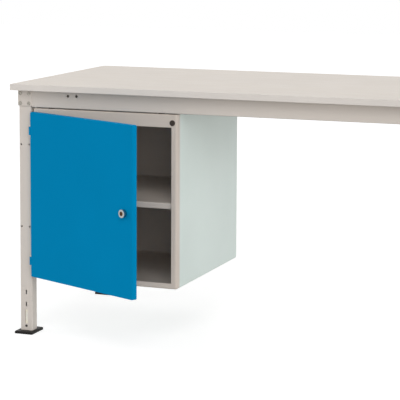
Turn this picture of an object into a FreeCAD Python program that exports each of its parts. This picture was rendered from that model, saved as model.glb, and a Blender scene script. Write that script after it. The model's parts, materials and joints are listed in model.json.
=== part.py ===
import FreeCAD, Part
import os
import re
import Sketcher
from FreeCAD import Placement, Rotation, Vector

# Workbench with a cabinet that hangs under its left half.
# Lengths in millimetres, angles in degrees. +X runs to the right along the bench,
# +Y from its front to its back, +Z up. The origin is on the floor, in the middle of
# the space that the bench takes with its door open. The places below are counted
# from the worktop's front left corner.

# The driving dimensions
SIZES = [
    # the whole bench
    ("table_length", 1500),
    ("table_depth", 750),
    ("table_height", 818),
    ("cut_overrun", 5),
    # worktop
    ("top_thickness", 20),
    ("band_thickness", 2),
    ("band_round", 1),
    # legs
    ("leg_width", 43),
    ("leg_depth", 36.5),
    ("leg_wall", 2),
    ("leg_corner", 4.5),
    ("leg_inset_side", 14.5),
    ("leg_inset_front", 35),
    ("window_bottom", 30),
    ("window_top", 78),
    ("window_width", 8.5),
    ("catch_width", 4),
    ("catch_length", 15.5),
    ("catch_low", 94.8),
    ("catch_pitch", 40),
    ("peg_hole", 6),
    ("peg_spread", 28.6),
    ("peg_low", 351),
    ("peg_pitch", 269),
    # heads that cap the legs
    ("head_wall", 3),
    ("head_fit", 0.2),
    ("head_height", 52),
    ("head_cap", 3),
    ("head_screw_spread", 30.5),
    ("head_screw_drop", 12),
    ("head_screw_pitch", 32),
    ("head_screw_hole", 6.4),
    ("head_screw_shank", 6),
    ("head_screw_length", 8),
    ("head_screw_cap", 12.5),
    ("head_screw_cap_height", 2.2),
    ("head_screw_socket", 4),
    ("head_screw_socket_depth", 1.8),
    # rails under the worktop
    ("rail_height", 56),
    ("rail_depth", 30),
    ("rail_wall", 2),
    ("rail_bend", 3),
    ("rail_plate", 3),
    ("rail_bolt_drop", 14),
    ("rail_bolt_pitch", 24),
    ("cable_hole", 8.5),
    ("cable_hole_start", 188),
    ("cable_hole_pitch", 30),
    ("cable_hole_drop", 15.5),
    # bolts and nuts, all of one size
    ("bolt_shank", 8),
    ("bolt_hole", 8.6),
    ("bolt_flats", 13),
    ("bolt_head", 5.3),
    ("bolt_length", 18),
    ("bolt_chamfer", 1),
    ("nut_height", 6.5),
    ("nut_bore", 8.2),
    # screws that hold the worktop
    ("wood_screw_shank", 5),
    ("wood_screw_length", 16),
    ("wood_screw_cap", 10),
    ("wood_screw_cap_height", 2.6),
    ("wood_screw_hole", 5.6),
    ("wood_screw_pilot", 5.2),
    ("wood_screw_first", 220),
    ("wood_screw_bite_gap", 1),
    # height-adjustable feet
    ("foot_wall", 2),
    ("foot_fit", 0.3),
    ("foot_corner", 2.2),
    ("foot_top", 83),
    ("pad_width", 63.5),
    ("pad_length", 86),
    ("pad_thickness", 8),
    ("pad_bevel", 2),
    ("pad_corner", 3),
    ("pad_plug_height", 16),
    ("pad_plug_fit", 0.15),
    ("clamp_screw", 8),
    ("clamp_screw_hole", 8.1),
    ("clamp_screw_height", 22.5),
    ("clamp_screw_proud", 0.8),
    ("clamp_screw_gap", 0.2),
    ("clamp_screw_socket", 4),
    ("clamp_screw_socket_depth", 1.8),
    # hangers that carry the cabinet
    ("hanger_width", 40),
    ("hanger_height", 18),
    ("hanger_wall", 2),
    ("hanger_end_gap", 1.5),
    ("hanger_inset", 60),
    ("hanger_back_bolt", 36),
    ("spacer_diameter", 20),
    # cabinet
    ("cabinet_side_gap", 6.5),
    ("cabinet_drop", 3),
    ("cabinet_width", 500),
    ("cabinet_rear_room", 154),
    ("cabinet_height", 556),
    ("cabinet_sheet", 1.2),
    ("cabinet_bend", 3),
    ("cabinet_round", 9),
    ("cabinet_low_round", 8),
    ("stile_width", 20.7),
    ("top_rail_height", 41),
    ("bottom_rail_height", 18.8),
    ("back_flange", 15),
    # shelf, its perforated strips and its clips
    ("shelf_height", 273.3),
    ("shelf_edge", 19.5),
    ("shelf_return", 12),
    ("shelf_sheet", 1.2),
    ("shelf_bend", 4),
    ("shelf_setback", 12),
    ("shelf_back_gap", 20),
    ("shelf_side_gap", 0.8),
    ("strip_width", 25),
    ("strip_depth", 6),
    ("strip_end_gap", 8),
    ("strip_inset", 45),
    ("strip_slot_width", 12),
    ("strip_slot_height", 3.4),
    ("strip_slot_pitch", 25),
    ("clip_width", 11),
    ("clip_sheet", 2),
    ("clip_reach", 15),
    ("clip_drop", 16),
    ("clip_hook", 3),
    ("clip_fit", 0.2),
    # rubber buffer that the door closes on
    ("buffer_diameter", 18),
    ("buffer_proud", 1.8),
    ("buffer_from_side", 17.7),
    ("buffer_from_top", 26.5),
    ("buffer_hole", 8),
    ("buffer_fit", 0.1),
    ("buffer_tail", 11),
    ("buffer_tail_length", 4),
    ("buffer_dimple", 7),
    ("buffer_dimple_depth", 0.9),
    # door
    ("door_width", 490),
    ("door_height", 536.7),
    ("door_thickness", 17.5),
    ("door_sheet", 1),
    ("door_lip", 12),
    ("door_gap", 2),
    ("door_side_reveal", 1.4),
    ("door_bottom_reveal", 9),
    ("door_corner", 4),
    ("door_edge_round", 1.5),
    ("door_open_angle", 25.2),
    ("stiffener_width", 60),
    ("stiffener_flange", 15),
    ("stiffener_depth", 14),
    ("stiffener_end_gap", 6),
    # door hinges
    ("hinge_axis_out", 3.5),
    ("hinge_axis_depth", 3),
    ("hinge_barrel", 9),
    ("hinge_bore", 4.1),
    ("hinge_pin", 4),
    ("hinge_barrel_height", 27),
    ("hinge_ear_height", 3),
    ("hinge_play", 0.3),
    ("hinge_leaf", 1.8),
    ("hinge_leaf_reach", 28),
    ("hinge_wing", 2),
    ("hinge_wing_start", 6.4),
    ("hinge_wing_reach", 50),
    ("hinge_notch", 5),
    ("hinge_notch_gap", 2.5),
    ("hinge_pin_cap", 6.4),
    ("hinge_pin_cap_height", 1.5),
    ("hinge_high", 484.5),
    ("hinge_low", 60.5),
    # cam lock
    ("lock_from_edge", 38.5),
    ("lock_from_bottom", 264),
    ("lock_rosette", 26),
    ("lock_rosette_height", 11.5),
    ("lock_rosette_round", 1.2),
    ("lock_barrel", 16),
    ("lock_barrel_length", 22),
    ("lock_hole_fit", 0.2),
    ("lock_plug", 11),
    ("lock_plug_cap", 14),
    ("lock_plug_cap_depth", 7),
    ("lock_plug_fit", 0.05),
    ("lock_plug_play", 0.2),
    ("lock_key_width", 2),
    ("lock_key_length", 9),
    ("lock_key_depth", 10),
    ("lock_key_tilt", 40),
    ("lock_plug_sink", 2),
    ("lock_nut_flats", 22),
    ("lock_nut_height", 4),
    ("lock_tang", 7),
    ("lock_tang_fit", 0.1),
    ("lock_cam_gap", 0.5),
    ("lock_cam_sheet", 2),
    ("lock_cam_width", 16),
    ("lock_cam_reach", 38),
    ("lock_cam_corner", 4),
    ("lock_screw_cap", 10),
    ("lock_screw_cap_height", 2.5),
    ("lock_screw_shank", 4),
    ("lock_screw_depth", 8),
    ("lock_screw_end_gap", 0.1),
]

doc = FreeCAD.newDocument("Workbench")
sheet = doc.addObject("Spreadsheet::Sheet", "Sizes")
ALIASES = {alias for alias, value in SIZES}
for row, (alias, value) in enumerate(SIZES, 1):
    sheet.set(f"A{row}", alias)
    sheet.set(f"B{row}", str(value))
    sheet.setAlias(f"B{row}", alias)
doc.recompute()

# Places that several sub-parts share, written in the sheet's names
UNDERSIDE = "(table_height - top_thickness)"
RAIL_BOTTOM = f"({UNDERSIDE} - rail_height)"
HEAD_OUT = "(head_fit + head_wall)"
LEG_X = "(leg_inset_side + leg_width / 2)"
LEG_Y = "(leg_inset_front + leg_depth / 2)"
RAIL_START = f"(leg_inset_side + leg_width + {HEAD_OUT})"
CROSS_START = f"(leg_inset_front + leg_depth + {HEAD_OUT})"
BOLT_ROWS = ["rail_bolt_drop", "(rail_bolt_drop + rail_bolt_pitch)"]
CABINET_LEFT = "(leg_inset_side + leg_width + cabinet_side_gap)"
CABINET_RIGHT = f"({CABINET_LEFT} + cabinet_width)"
CABINET_FRONT = "leg_inset_front"
CABINET_BACK = "(table_depth - cabinet_rear_room)"
CABINET_TOP = f"({RAIL_BOTTOM} - cabinet_drop)"
CABINET_BOTTOM = f"({CABINET_TOP} - cabinet_height)"
SHELF_TOP = f"({CABINET_BOTTOM} + shelf_height)"
HANGER_X = [f"({CABINET_LEFT} + hanger_inset)", f"({CABINET_RIGHT} - hanger_inset)"]
HANGER_BASE = f"({RAIL_BOTTOM} + rail_wall)"
FRONT_BOLT_Y = "(leg_inset_front + rail_depth / 2)"
REAR_BOLT_Y = f"(table_depth - {FRONT_BOLT_Y})"
CABINET_BOLT_Y = f"({CABINET_BACK} - hanger_back_bolt)"
HINGE_X = f"({CABINET_LEFT} + door_side_reveal - hinge_axis_out)"
HINGE_Y = f"({CABINET_FRONT} - door_gap - door_thickness + hinge_axis_depth)"
HINGES = {"upper": f"({CABINET_BOTTOM} + hinge_high)", "lower": f"({CABINET_BOTTOM} + hinge_low)"}
DOOR_TIP_OUT = "(hinge_axis_out + door_width - door_edge_round) * sin(door_open_angle)"
DOOR_TIP_FRONT = "(hinge_axis_depth - door_edge_round) * cos(door_open_angle)"
DOOR_TIP_Y = f"({HINGE_Y} - {DOOR_TIP_OUT} - {DOOR_TIP_FRONT} - door_edge_round)"
ORIGIN_X = "(table_length / 2)"
ORIGIN_Y = f"((table_depth + {DOOR_TIP_Y}) / 2)"

# Two points closer than this are the same point
SAME_POINT = 1e-4


def sized(text):
    """The text as an expression that reads the sheet's cells."""
    return re.sub(r"[a-z_]+", lambda m: "Sizes." + m[0] if m[0] in ALIASES else m[0], str(text))


def at(text):
    """The value of a place or size that is written in the sheet's names."""
    return float(sheet.evalExpression(sized(text)))


def same(one, other):
    return abs(one[0] - other[0]) + abs(one[1] - other[1]) < SAME_POINT


def put(item, place, rotation):
    """Puts an item at a place that is counted from the worktop's front left corner."""
    item.Placement = Placement(Vector(), rotation)
    for name, text, origin in zip("xyz", place, (ORIGIN_X, ORIGIN_Y, "0")):
        item.setExpression(f"Placement.Base.{name}", sized(f"{text} - {origin}"))
    return item


class Piece:
    """A body made of outlines that are padded or cut along X, Y or Z of its own frame.

    An outline along Z is drawn in X and Y, one along Y in X and Z, one along X in Y and Z.
    """

    PLANES = {"X": ("YZ_Plane", 1), "Y": ("XZ_Plane", -1), "Z": ("XY_Plane", 1)}
    FLAT = {"X": ("y", "z"), "Y": ("x", "z"), "Z": ("x", "y")}

    def __init__(self, label):
        self.body = doc.addObject("PartDesign::Body", label)
        self.body.Label = label
        self.count = 0

    def sketch(self, axis, start, shapes):
        role, sign = self.PLANES[axis]
        self.count += 1
        name = f"{self.body.Name}_outline_{self.count}"
        sketch = self.body.newObject("Sketcher::SketchObject", name)
        plane = [item for item in self.body.Origin.OriginFeatures if item.Role == role]
        sketch.AttachmentSupport = [(plane[0], "")]
        sketch.MapMode = "FlatFace"
        sketch.setExpression("AttachmentOffset.Base.z", sized(f"{sign} * ({start})"))
        for shape in shapes:
            shape(sketch)
        return sketch

    def pad(self, axis, start, end, *shapes):
        sketch = self.sketch(axis, start, shapes)
        pad = self.body.newObject("PartDesign::Pad", f"{self.body.Name}_pad_{self.count}")
        pad.Profile = sketch
        pad.Reversed = axis == "Y"
        pad.setExpression("Length", sized(f"({end}) - ({start})"))
        return self

    def cut(self, axis, start, end, *shapes):
        sketch = self.sketch(axis, start, shapes)
        cut = self.body.newObject("PartDesign::Pocket", f"{self.body.Name}_cut_{self.count}")
        cut.Profile = sketch
        cut.Reversed = axis != "Y"
        cut.setExpression("Length", sized(f"({end}) - ({start})"))
        return self

    def edges(self, axis, places):
        """Names of the straight edges along the axis that run through the given places."""
        doc.recompute()
        wanted = [(at(first), at(second)) for first, second in places]
        first, second = self.FLAT[axis]
        names = []
        for number, edge in enumerate(self.body.Tip.Shape.Edges, 1):
            if edge.Curve.TypeId != "Part::GeomLine":
                continue
            ends = [(getattr(v.Point, first), getattr(v.Point, second)) for v in edge.Vertexes]
            if any(same(ends[0], place) and same(ends[1], place) for place in wanted):
                names.append(f"Edge{number}")
        return names

    def finish(self, kind, size_name, size, names):
        """Rounds or bevels the named edges of the body's last feature."""
        tip = self.body.Tip
        self.count += 1
        feature = self.body.newObject(kind, f"{self.body.Name}_edge_{self.count}")
        feature.Base = (tip, names)
        feature.setExpression(size_name, sized(size))
        return self

    def round(self, radius, axis, places):
        return self.finish("PartDesign::Fillet", "Radius", radius, self.edges(axis, places))

    def chosen_edges(self, chosen):
        """Names of the edges that the chosen test picks."""
        doc.recompute()
        edges = enumerate(self.body.Tip.Shape.Edges, 1)
        return [f"Edge{number}" for number, edge in edges if chosen(edge)]

    def round_edges(self, radius, chosen):
        return self.finish("PartDesign::Fillet", "Radius", radius, self.chosen_edges(chosen))

    def bevel(self, size, chosen):
        return self.finish("PartDesign::Chamfer", "Size", size, self.chosen_edges(chosen))

    def repeat(self, role, copies, pitch):
        """Repeats the last cut along one of the body's axes."""
        last = self.body.Tip
        self.count += 1
        name = f"{self.body.Name}_row_{self.count}"
        pattern = self.body.newObject("PartDesign::LinearPattern", name)
        pattern.Originals = [last]
        axis = [item for item in self.body.Origin.OriginFeatures if item.Role == role]
        pattern.Direction = (axis[0], [""])
        pattern.setExpression("Length", sized(f"({copies} - 1) * {pitch}"))
        pattern.Occurrences = int(copies)
        self.body.Tip = pattern
        return self

    def place(self, x="0", y="0", z="0", turn=0):
        """Puts the body's own frame at a place of the bench, turned about its Z."""
        return put(self.body, (x, y, z), Rotation(Vector(0, 0, 1), turn))


# Outlines, each a function that draws into a sketch

def pin_point(sketch, index, which, place):
    """Ties a point of the outline to its distances from the frame's origin."""
    for kind, text in zip(("DistanceX", "DistanceY"), place):
        number = sketch.addConstraint(Sketcher.Constraint(kind, -1, 1, index, which, at(text)))
        sketch.setExpression(f"Constraints[{number}]", sized(text))


def polygon(*places):
    def draw(sketch):
        points = [Vector(at(first), at(second), 0) for first, second in places]
        lines = []
        for here, there in zip(points, points[1:] + points[:1]):
            lines.append(sketch.addGeometry(Part.LineSegment(here, there), False))
        for line, following in zip(lines, lines[1:] + lines[:1]):
            sketch.addConstraint(Sketcher.Constraint("Coincident", line, 2, following, 1))
        for line, place in zip(lines, places):
            pin_point(sketch, line, 1, place)
    return draw


def rectangle(left, low, right, high):
    return polygon((left, low), (right, low), (right, high), (left, high))


def centred(width, height):
    return rectangle(f"-({width}) / 2", f"-({height}) / 2", f"({width}) / 2", f"({height}) / 2")


def circle(across, up, diameter):
    def draw(sketch):
        centre = Vector(at(across), at(up), 0)
        ring = Part.Circle(centre, Vector(0, 0, 1), at(diameter) / 2)
        index = sketch.addGeometry(ring, False)
        pin_point(sketch, index, 3, (across, up))
        number = sketch.addConstraint(Sketcher.Constraint("Radius", index, at(diameter) / 2))
        sketch.setExpression(f"Constraints[{number}]", sized(f"({diameter}) / 2"))
    return draw


# A hexagon's corners, as shares of its half width over corners and over flats
HEXAGON_SHARES = [(1, 0), (0.5, 1), (-0.5, 1), (-1, 0), (-0.5, -1), (0.5, -1)]


def hexagon(across, up, flats):
    """A hexagon with two flats level, from its distance across flats."""
    corner = f"({flats}) / sqrt(3)"
    half = f"({flats}) / 2"
    places = [(f"{across} + {x} * {corner}", f"{up} + {y} * {half}") for x, y in HEXAGON_SHARES]
    return polygon(*places)


def upright_slot(across, low, high, width):
    """A slot with round ends that runs up the outline."""
    def draw(sketch):
        radius = f"({width}) / 2"
        bottom = (across, f"({low}) + {radius}")
        top = (across, f"({high}) - {radius}")
        size = at(radius)
        axis = Vector(0, 0, 1)
        low_centre = Vector(at(bottom[0]), at(bottom[1]), 0)
        high_centre = Vector(at(top[0]), at(top[1]), 0)
        side = Vector(size, 0, 0)
        half_turn = 3.141592653589793
        low_arc = Part.ArcOfCircle(Part.Circle(low_centre, axis, size), half_turn, 2 * half_turn)
        high_arc = Part.ArcOfCircle(Part.Circle(high_centre, axis, size), 0, half_turn)
        first = sketch.addGeometry(low_arc, False)
        right = sketch.addGeometry(Part.LineSegment(low_centre + side, high_centre + side), False)
        second = sketch.addGeometry(high_arc, False)
        left = sketch.addGeometry(Part.LineSegment(high_centre - side, low_centre - side), False)
        for one, end, other, start in (
            (first, 2, right, 1),
            (right, 2, second, 1),
            (second, 2, left, 1),
            (left, 2, first, 1),
        ):
            sketch.addConstraint(Sketcher.Constraint("Tangent", one, end, other, start))
        sketch.addConstraint(Sketcher.Constraint("Equal", first, second))
        number = sketch.addConstraint(Sketcher.Constraint("Radius", first, size))
        sketch.setExpression(f"Constraints[{number}]", sized(radius))
        pin_point(sketch, first, 3, bottom)
        pin_point(sketch, second, 3, top)
    return draw


PARTS = []


def keep(body):
    PARTS.append(body)
    return body


def from_right(text):
    """The mirrored place, counted from the bench's right end."""
    return f"(table_length - ({text}))"


def from_back(text):
    """The mirrored place, counted from the bench's back edge."""
    return f"(table_depth - ({text}))"


def pointing(way):
    """The turn that points a piece's Z along a direction."""
    return Rotation(Vector(0, 0, 1), Vector(*way))


def turned(angle):
    return Rotation(Vector(0, 0, 1), angle)


def group(label, original, places):
    """One sub-part of identical solids. A place is x, y, z and a rotation."""
    copies = []
    for number, (x, y, z, rotation) in enumerate(places, 1):
        copy = doc.addObject("App::Link", f"{label}_{number}")
        copy.LinkedObject = original
        copies.append(put(copy, (x, y, z), rotation))
    compound = doc.addObject("Part::Compound", label)
    compound.Label = label
    compound.Links = copies
    return keep(compound)


def edge_at(axis, place):
    """Picks every edge that lies at a place along an axis of the piece's own frame."""
    def chosen(edge):
        ends = [getattr(vertex.Point, axis) for vertex in edge.Vertexes]
        return all(abs(end - at(place)) < SAME_POINT for end in ends)
    return chosen


def round_edge_at(height, diameter):
    """Picks the round edge of a diameter at a height of the piece's own frame."""
    def chosen(edge):
        ring = edge.Curve
        return (
            ring.TypeId == "Part::GeomCircle"
            and abs(ring.Radius - at(diameter) / 2) < SAME_POINT
            and abs(ring.Center.z - at(height)) < SAME_POINT
        )
    return chosen


# Worktop

SCREW_PITCH = "((table_length - 2 * wood_screw_first) / 3)"
FRONT_SCREWS = [f"(wood_screw_first + {n} * {SCREW_PITCH})" for n in range(4)]
TOP_SCREWS = [(x, y) for x in FRONT_SCREWS for y in (FRONT_BOLT_Y, REAR_BOLT_Y)]
CROSS_SCREW_X = "(leg_inset_side + rail_depth / 2)"
TOP_SCREWS += [(CROSS_SCREW_X, "table_depth / 2"), (from_right(CROSS_SCREW_X), "table_depth / 2")]


def worktop():
    board = Piece("worktop_board")
    inner = rectangle(
        "band_thickness",
        "band_thickness",
        "table_length - band_thickness",
        "table_depth - band_thickness",
    )
    board.pad("Z", UNDERSIDE, "table_height", inner)
    pilots = [circle(x, y, "wood_screw_pilot") for x, y in TOP_SCREWS]
    bite = f"{UNDERSIDE} - rail_wall + wood_screw_length + wood_screw_bite_gap"
    board.cut("Z", UNDERSIDE, bite, *pilots)
    keep(board.place())

    for label, low, high in (
        ("front_edge_band", "0", "band_thickness"),
        ("rear_edge_band", "table_depth - band_thickness", "table_depth"),
    ):
        band = Piece(label)
        band.pad("X", "0", "table_length", rectangle(low, UNDERSIDE, high, "table_height"))
        outer = low if label.startswith("front") else high
        band.round("band_round", "X", [(outer, UNDERSIDE), (outer, "table_height")])
        keep(band.place())

    for label, left, right in (
        ("left_edge_band", "0", "band_thickness"),
        ("right_edge_band", "table_length - band_thickness", "table_length"),
    ):
        band = Piece(label)
        outline = rectangle(left, UNDERSIDE, right, "table_height")
        band.pad("Y", "band_thickness", "table_depth - band_thickness", outline)
        outer = left if label.startswith("left") else right
        band.round("band_round", "Y", [(outer, UNDERSIDE), (outer, "table_height")])
        keep(band.place())


# Legs with their heads and feet. Each leg's own frame stands on the floor in the
# middle of the leg, and its outward face, with the slots, looks along -Y.
# hand is 1 where the long rail meets the leg on +X of that frame, and -1 on -X.

LEGS = {
    "front_left": (LEG_X, LEG_Y, 0, 1),
    "front_right": (from_right(LEG_X), LEG_Y, 0, -1),
    "rear_left": (LEG_X, from_back(LEG_Y), 180, -1),
    "rear_right": (from_right(LEG_X), from_back(LEG_Y), 180, 1),
}
LEG_OUT_X = "(leg_width / 2)"
LEG_OUT_Y = "(leg_depth / 2)"
HEAD_OUT_X = f"({LEG_OUT_X} + {HEAD_OUT})"
HEAD_OUT_Y = f"({LEG_OUT_Y} + {HEAD_OUT})"
LEG_TOP = f"({UNDERSIDE} - head_cap)"
LONG_RAIL_BOLT = "(rail_depth / 2 - leg_depth / 2)"
CROSS_RAIL_BOLT = "(leg_width / 2 - rail_depth / 2)"
HEAD_SCREW_ROWS = ["head_screw_drop", "(head_screw_drop + head_screw_pitch)"]


def rounded_tube(piece, half_x, half_y, low, high, wall, corner):
    """An upright rectangular tube with rounded corners."""
    outer = [(f"{a}{half_x}", f"{b}{half_y}") for a in ("", "-") for b in ("", "-")]
    inner_x = f"({half_x} - {wall})"
    inner_y = f"({half_y} - {wall})"
    inner = [(f"{a}{inner_x}", f"{b}{inner_y}") for a in ("", "-") for b in ("", "-")]
    piece.pad("Z", low, high, centred(f"2 * {half_x}", f"2 * {half_y}"))
    piece.round(corner, "Z", outer)
    hollow = centred(f"2 * {inner_x}", f"2 * {inner_y}")
    piece.cut("Z", f"{low} - cut_overrun", f"{high} + cut_overrun", hollow)
    return inner


def joint_holes(piece, hand, reach_x, reach_y, diameter):
    """Bolt holes towards the long rail and the cross rail, through one wall each."""
    rows = [f"{UNDERSIDE} - {row}" for row in BOLT_ROWS]
    long_side = [circle(LONG_RAIL_BOLT, row, diameter) for row in rows]
    cross_side = [circle(f"{-hand} * {CROSS_RAIL_BOLT}", row, diameter) for row in rows]
    if hand > 0:
        piece.cut("X", "0", f"{reach_x} + cut_overrun", *long_side)
    else:
        piece.cut("X", f"-{reach_x} - cut_overrun", "0", *long_side)
    piece.cut("Y", "0", f"{reach_y} + cut_overrun", *cross_side)


def head_screw_holes(piece, reach_y):
    holes = []
    for side in (-1, 1):
        for row in HEAD_SCREW_ROWS:
            across = f"{side} * head_screw_spread / 2"
            holes.append(circle(across, f"{UNDERSIDE} - {row}", "head_screw_hole"))
    piece.cut("Y", f"-{reach_y} - cut_overrun", "0", *holes)


def leg(name):
    x, y, turn, hand = LEGS[name]
    post = Piece(f"{name}_leg")
    inner = rounded_tube(
        post, LEG_OUT_X, LEG_OUT_Y, "pad_thickness", LEG_TOP, "leg_wall", "leg_corner"
    )
    post.round("leg_corner - leg_wall", "Z", inner)
    openings = [upright_slot("0", "window_bottom", "window_top", "window_width")]
    for step in range(2):
        middle = f"(catch_low + {step} * catch_pitch)"
        low = f"{middle} - catch_length / 2"
        high = f"{middle} + catch_length / 2"
        openings.append(upright_slot("0", low, high, "catch_width"))
        for side in (-1, 1):
            height = f"peg_low + {step} * peg_pitch"
            openings.append(circle(f"{side} * peg_spread / 2", height, "peg_hole"))
    openings.append(circle("0", "clamp_screw_height", "clamp_screw_hole"))
    post.cut("Y", f"-{LEG_OUT_Y} - cut_overrun", "0", *openings)
    head_screw_holes(post, LEG_OUT_Y)
    joint_holes(post, hand, LEG_OUT_X, LEG_OUT_Y, "bolt_hole")
    keep(post.place(x, y, "0", turn))


def leg_head(name):
    x, y, turn, hand = LEGS[name]
    head = Piece(f"{name}_leg_head")
    low = f"{UNDERSIDE} - head_height"
    head.pad("Z", low, UNDERSIDE, centred(f"2 * {HEAD_OUT_X}", f"2 * {HEAD_OUT_Y}"))
    outer = [(f"{a}{HEAD_OUT_X}", f"{b}{HEAD_OUT_Y}") for a in ("", "-") for b in ("", "-")]
    head.round("leg_corner", "Z", outer)
    hollow = centred("leg_width + 2 * head_fit", "leg_depth + 2 * head_fit")
    head.cut("Z", f"{low} - cut_overrun", LEG_TOP, hollow)
    head_screw_holes(head, HEAD_OUT_Y)
    joint_holes(head, hand, HEAD_OUT_X, HEAD_OUT_Y, "bolt_hole")
    keep(head.place(x, y, "0", turn))


FOOT_HALF_X = f"({LEG_OUT_X} - leg_wall - foot_fit)"
FOOT_HALF_Y = f"({LEG_OUT_Y} - leg_wall - foot_fit)"


def foot(name):
    x, y, turn, hand = LEGS[name]
    tube = Piece(f"{name}_foot_tube")
    rounded_tube(
        tube, FOOT_HALF_X, FOOT_HALF_Y, "pad_thickness", "foot_top", "foot_wall", "foot_corner"
    )
    keep(tube.place(x, y, "0", turn))

    pad = Piece(f"{name}_foot_pad")
    half_x = "(pad_width / 2)"
    half_y = "(pad_length / 2)"
    corners = [(f"{a}{half_x}", f"{b}{half_y}") for a in ("", "-") for b in ("", "-")]
    pad.pad("Z", "0", "pad_thickness", centred("pad_width", "pad_length"))
    pad.round("pad_corner", "Z", corners)
    pad.bevel("pad_bevel", edge_at("z", "pad_thickness"))
    plug_x = f"2 * ({FOOT_HALF_X} - foot_wall - pad_plug_fit)"
    plug_y = f"2 * ({FOOT_HALF_Y} - foot_wall - pad_plug_fit)"
    pad.pad("Z", "pad_thickness", "pad_thickness + pad_plug_height", centred(plug_x, plug_y))
    keep(pad.place(x, y, "0", turn))


# Rails. A rail's own frame starts at its end, flush with its face and its top.

def rail(label, length, place, turn, top_holes=(), bottom_holes=(), face_holes=()):
    bar = Piece(label)
    section = [
        ("0", "0"),
        ("rail_depth", "0"),
        ("rail_depth", "-rail_wall"),
        ("rail_wall", "-rail_wall"),
        ("rail_wall", "-rail_height + rail_wall"),
        ("rail_depth", "-rail_height + rail_wall"),
        ("rail_depth", "-rail_height"),
        ("0", "-rail_height"),
    ]
    bar.pad("X", "0", length, polygon(*section))
    bar.round("rail_bend", "X", [section[0], section[7]])
    bar.round("rail_bend - rail_wall", "X", [section[3], section[4]])
    plate = rectangle("rail_wall", "-rail_height + rail_wall", "rail_depth", "-rail_wall")
    bar.pad("X", "0", "rail_plate", plate)
    bar.pad("X", f"({length}) - rail_plate", length, plate)
    rows = [circle("rail_depth / 2", f"-{row}", "bolt_hole") for row in BOLT_ROWS]
    bar.cut("X", "-cut_overrun", f"({length}) + cut_overrun", *rows)
    if top_holes:
        holes = [circle(x, "rail_depth / 2", "wood_screw_hole") for x in top_holes]
        bar.cut("Z", "-rail_wall - rail_bend", "cut_overrun", *holes)
    if bottom_holes:
        holes = [circle(x, "rail_depth / 2", "bolt_hole") for x in bottom_holes]
        bar.cut("Z", "-rail_height - cut_overrun", "-rail_height + rail_wall + rail_bend", *holes)
    if face_holes:
        holes = [circle(x, f"-{drop}", "cable_hole") for x, drop in face_holes]
        bar.cut("Y", "-cut_overrun", "rail_wall + rail_bend", *holes)
    x, y = place
    keep(bar.place(x, y, UNDERSIDE, turn))


def rails():
    long_length = f"(table_length - 2 * {RAIL_START})"
    cross_length = f"(table_depth - 2 * {CROSS_START})"
    cable_holes = [
        (f"cable_hole_start + {n} * cable_hole_pitch - {RAIL_START}", "cable_hole_drop")
        for n in range(2)
    ]
    rail(
        "front_rail",
        long_length,
        (RAIL_START, "leg_inset_front"),
        0,
        [f"{x} - {RAIL_START}" for x in FRONT_SCREWS],
        [f"{x} - {RAIL_START}" for x in HANGER_X],
        cable_holes,
    )
    rail(
        "rear_rail",
        long_length,
        (from_right(RAIL_START), from_back("leg_inset_front")),
        180,
        [f"{from_right(x)} - {RAIL_START}" for x in FRONT_SCREWS],
        [f"{from_right(x)} - {RAIL_START}" for x in HANGER_X],
    )
    middle = [f"{cross_length} / 2"]
    rail(
        "left_cross_rail",
        cross_length,
        ("leg_inset_side", from_back(CROSS_START)),
        -90,
        middle,
    )
    rail(
        "right_cross_rail",
        cross_length,
        (from_right("leg_inset_side"), CROSS_START),
        90,
        middle,
    )


def hangers():
    """Two channels from the front rail to the rear rail, which carry the cabinet."""
    for side, x in zip(("left", "right"), HANGER_X):
        bar = Piece(f"{side}_cabinet_hanger")
        half = "hanger_width / 2"
        section = [
            (f"{x} - {half}", HANGER_BASE),
            (f"{x} + {half}", HANGER_BASE),
            (f"{x} + {half}", f"{HANGER_BASE} + hanger_height"),
            (f"{x} + {half} - hanger_wall", f"{HANGER_BASE} + hanger_height"),
            (f"{x} + {half} - hanger_wall", f"{HANGER_BASE} + hanger_wall"),
            (f"{x} - {half} + hanger_wall", f"{HANGER_BASE} + hanger_wall"),
            (f"{x} - {half} + hanger_wall", f"{HANGER_BASE} + hanger_height"),
            (f"{x} - {half}", f"{HANGER_BASE} + hanger_height"),
        ]
        start = "(leg_inset_front + rail_wall + hanger_end_gap)"
        bar.pad("Y", start, from_back(start), polygon(*section))
        bar.round("rail_bend", "Y", [section[0], section[1]])
        bar.round("rail_bend - hanger_wall", "Y", [section[4], section[5]])
        holes = [circle(x, y, "bolt_hole") for y in (FRONT_BOLT_Y, CABINET_BOLT_Y, REAR_BOLT_Y)]
        base = f"{HANGER_BASE} - cut_overrun"
        bar.cut("Z", base, f"{HANGER_BASE} + hanger_wall + rail_bend", *holes)
        keep(bar.place())


# Fasteners. Each original stands on its own Z axis, its head below the frame's origin.

def hexagon_bolt():
    bolt = Piece("hexagon_bolt")
    bolt.pad("Z", "0", "bolt_length", circle("0", "0", "bolt_shank"))
    bolt.bevel("bolt_chamfer", round_edge_at("bolt_length", "bolt_shank"))
    bolt.pad("Z", "-bolt_head", "0", hexagon("0", "0", "bolt_flats"))
    return bolt.place()


def hexagon_nut():
    nut = Piece("hexagon_nut")
    nut.pad("Z", "0", "nut_height", hexagon("0", "0", "bolt_flats"))
    nut.cut("Z", "-cut_overrun", "nut_height + cut_overrun", circle("0", "0", "nut_bore"))
    return nut.place()


def socket_screw(label, shank, length, cap, cap_height, socket, socket_depth):
    screw = Piece(label)
    screw.pad("Z", "0", length, circle("0", "0", shank))
    screw.pad("Z", f"-{cap_height}", "0", circle("0", "0", cap))
    screw.bevel(f"{cap_height} / 2", round_edge_at(f"-{cap_height}", cap))
    low = f"-{cap_height} - cut_overrun"
    screw.cut("Z", low, f"-{cap_height} + {socket_depth}", hexagon("0", "0", socket))
    return screw.place()


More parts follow.
